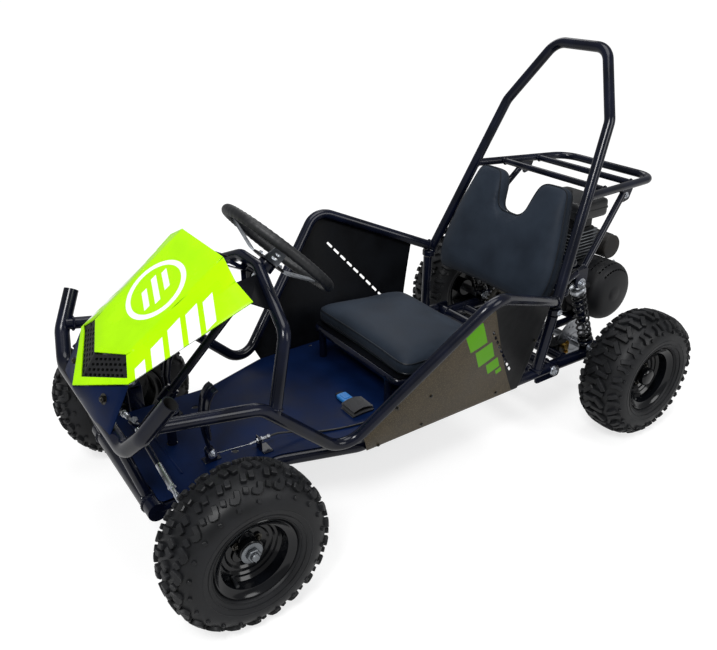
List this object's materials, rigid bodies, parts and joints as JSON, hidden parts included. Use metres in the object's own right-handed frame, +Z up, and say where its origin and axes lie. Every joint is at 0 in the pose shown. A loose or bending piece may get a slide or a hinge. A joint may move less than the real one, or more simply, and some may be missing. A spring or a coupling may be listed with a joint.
{
  "type": "off road go kart",
  "caption": "Single-seat off-road go kart: tubular frame and roll hoop, angular hood, padded seat, knobbly tyres, rear engine on a sprung swing arm.",
  "frame": {"origin": "on the ground under the middle of the kart's own box", "axes": "+Z up, the nose points along -Y, and the driver's left side is +X"},
  "size_m": [0.871, 1.6343, 1.009],
  "materials": {
    "black_frame_paint": "gloss powder coat",
    "black_rim_paint": "gloss",
    "navy_paint": "satin",
    "panel_finish": "satin",
    "hood_plastic": "gloss",
    "black_plastic": "matte",
    "bare_steel": "brushed",
    "seat_vinyl": "matte",
    "tyre_rubber": "matte",
    "zinc_plate": "satin",
    "cast_metal": "cast",
    "spring_paint": "gloss",
    "webbing": "woven",
    "buckle_plastic": "gloss"
  },
  "bodies": {
    "chassis": {"main_frame": "black_frame_paint", "front_bumper": "black_frame_paint", "side_rail_left": "black_frame_paint", "side_rail_right": "black_frame_paint", "roll_hoop": "black_frame_paint", "steering_hoop": "black_frame_paint", "rear_rack": "black_frame_paint", "front_plate": "navy_paint", "floor_pan": "navy_paint", "side_panel_left": "panel_finish", "side_panel_right": "panel_finish", "hood": "hood_plastic", "hood_vent": "black_plastic", "column_bracket": "black_frame_paint", "seat_frame": "bare_steel", "seat_cushion": "seat_vinyl", "seat_backrest": "seat_vinyl", "seat_back_frame": "black_frame_paint", "pedal_bracket_left": "black_frame_paint", "pedal_bracket_right": "black_frame_paint", "belt_pad": "webbing", "belt_buckle": "buckle_plastic"},
    "steering": {"steering_wheel": "black_plastic", "steering_column": "black_frame_paint"},
    "knuckle_left": {"knuckle_left": "black_frame_paint"},
    "tie_rod_left": {"tie_rod_left": "zinc_plate"},
    "front_wheel_left": {"rim_front_left": "black_rim_paint", "tyre_front_left": "tyre_rubber"},
    "knuckle_right": {"knuckle_right": "black_frame_paint"},
    "tie_rod_right": {"tie_rod_right": "zinc_plate"},
    "front_wheel_right": {"rim_front_right": "black_rim_paint", "tyre_front_right": "tyre_rubber"},
    "brake_pedal": {"brake_pedal": "black_plastic"},
    "throttle_pedal": {"throttle_pedal": "black_plastic"},
    "swing": {"swing_arm": "black_frame_paint", "brake_caliper": "cast_metal", "engine_block": "cast_metal", "recoil_starter": "black_plastic", "fuel_tank": "black_plastic", "muffler": "cast_metal", "air_cleaner": "black_plastic", "drive_chain": "bare_steel"},
    "rear_axle": {"rear_axle": "bare_steel", "rim_rear_left": "black_rim_paint", "tyre_rear_left": "tyre_rubber", "hub_cap_rear_left": "black_plastic", "rim_rear_right": "black_rim_paint", "tyre_rear_right": "tyre_rubber", "hub_cap_rear_right": "black_plastic", "axle_sprocket": "bare_steel", "brake_disc": "bare_steel"},
    "clutch": {"clutch": "cast_metal"},
    "shock_body_left": {"shock_body_left": "zinc_plate", "shock_spring_left": "spring_paint"},
    "shock_rod_left": {"shock_rod_left": "bare_steel"},
    "shock_body_right": {"shock_body_right": "zinc_plate", "shock_spring_right": "spring_paint"},
    "shock_rod_right": {"shock_rod_right": "bare_steel"}
  },
  "joints": [
    {"name": "steering", "type": "hinge", "parent": "chassis", "child": "steering", "pos_m": [0, -0.3255, 0.622], "axis": [0, 0.7254, 0.6884], "range_deg": [-55, 55]},
    {"name": "steer_left", "type": "hinge", "parent": "chassis", "child": "knuckle_left", "pos_m": [0.273, -0.6265, 0.1775], "axis": [0, 0, 1], "range_deg": [-22, 22]},
    {"name": "tie_left", "type": "hinge", "parent": "knuckle_left", "child": "tie_rod_left", "pos_m": [0.264, -0.7065, 0.2398], "axis": [0, 0, 1], "range_deg": [-22, 22]},
    {"name": "roll_front_left", "type": "hinge", "parent": "knuckle_left", "child": "front_wheel_left", "pos_m": [0.3555, -0.6265, 0.1775], "axis": [1, 0, 0], "continuous": true},
    {"name": "steer_right", "type": "hinge", "parent": "chassis", "child": "knuckle_right", "pos_m": [-0.273, -0.6265, 0.1775], "axis": [0, 0, 1], "range_deg": [-22, 22]},
    {"name": "tie_right", "type": "hinge", "parent": "knuckle_right", "child": "tie_rod_right", "pos_m": [-0.264, -0.7065, 0.2398], "axis": [0, 0, 1], "range_deg": [-22, 22]},
    {"name": "roll_front_right", "type": "hinge", "parent": "knuckle_right", "child": "front_wheel_right", "pos_m": [-0.3555, -0.6265, 0.1775], "axis": [1, 0, 0], "continuous": true},
    {"name": "brake", "type": "hinge", "parent": "chassis", "child": "brake_pedal", "pos_m": [0.108, -0.5795, 0.2313], "axis": [1, 0, 0], "range_deg": [0, 18], "stiffness_Nm_per_rad": 2.5, "springref_deg": -14.32},
    {"name": "throttle", "type": "hinge", "parent": "chassis", "child": "throttle_pedal", "pos_m": [-0.108, -0.5795, 0.2313], "axis": [1, 0, 0], "range_deg": [0, 18], "stiffness_Nm_per_rad": 2.5, "springref_deg": -14.32},
    {"name": "swing", "type": "hinge", "parent": "chassis", "child": "swing", "pos_m": [0, 0.3855, 0.182], "axis": [1, 0, 0], "range_deg": [-4, 5], "stiffness_Nm_per_rad": 1400, "springref_deg": -2.29},
    {"name": "axle_spin", "type": "hinge", "parent": "swing", "child": "rear_axle", "pos_m": [0, 0.5735, 0.1775], "axis": [1, 0, 0], "continuous": true},
    {"name": "clutch_spin", "type": "hinge", "parent": "swing", "child": "clutch", "pos_m": [-0.15, 0.6775, 0.318], "axis": [1, 0, 0], "continuous": true},
    {"name": "shock_tilt_left", "type": "hinge", "parent": "chassis", "child": "shock_body_left", "pos_m": [0.218, 0.4575, 0.424], "axis": [1, 0, 0], "range_deg": [-1, 1]},
    {"name": "shock_stroke_left", "type": "slide", "parent": "shock_body_left", "child": "shock_rod_left", "axis": [0, 0.3521, -0.936], "range_m": [-0.015, 0.012], "deforming": ["shock_spring_left"]},
    {"name": "shock_tilt_right", "type": "hinge", "parent": "chassis", "child": "shock_body_right", "pos_m": [-0.218, 0.4575, 0.424], "axis": [1, 0, 0], "range_deg": [-1, 1]},
    {"name": "shock_stroke_right", "type": "slide", "parent": "shock_body_right", "child": "shock_rod_right", "axis": [0, 0.3521, -0.936], "range_m": [-0.015, 0.012], "deforming": ["shock_spring_right"]}
  ],
  "couplings": [
    {"joint": "steer_left", "follows": "steering", "ratio": 0.375},
    {"joint": "steer_right", "follows": "steering", "ratio": 0.375},
    {"joint": "tie_left", "follows": "steering", "ratio": -0.375},
    {"joint": "tie_right", "follows": "steering", "ratio": -0.375},
    {"joint": "clutch_spin", "follows": "axle_spin", "ratio": 3.7273},
    {"joint": "shock_tilt_left", "follows": "swing", "ratio": 0.128},
    {"joint": "shock_stroke_left", "follows": "swing", "m_per_rad": -0.1528},
    {"joint": "shock_tilt_right", "follows": "swing", "ratio": 0.128},
    {"joint": "shock_stroke_right", "follows": "swing", "m_per_rad": -0.1528}
  ]
}
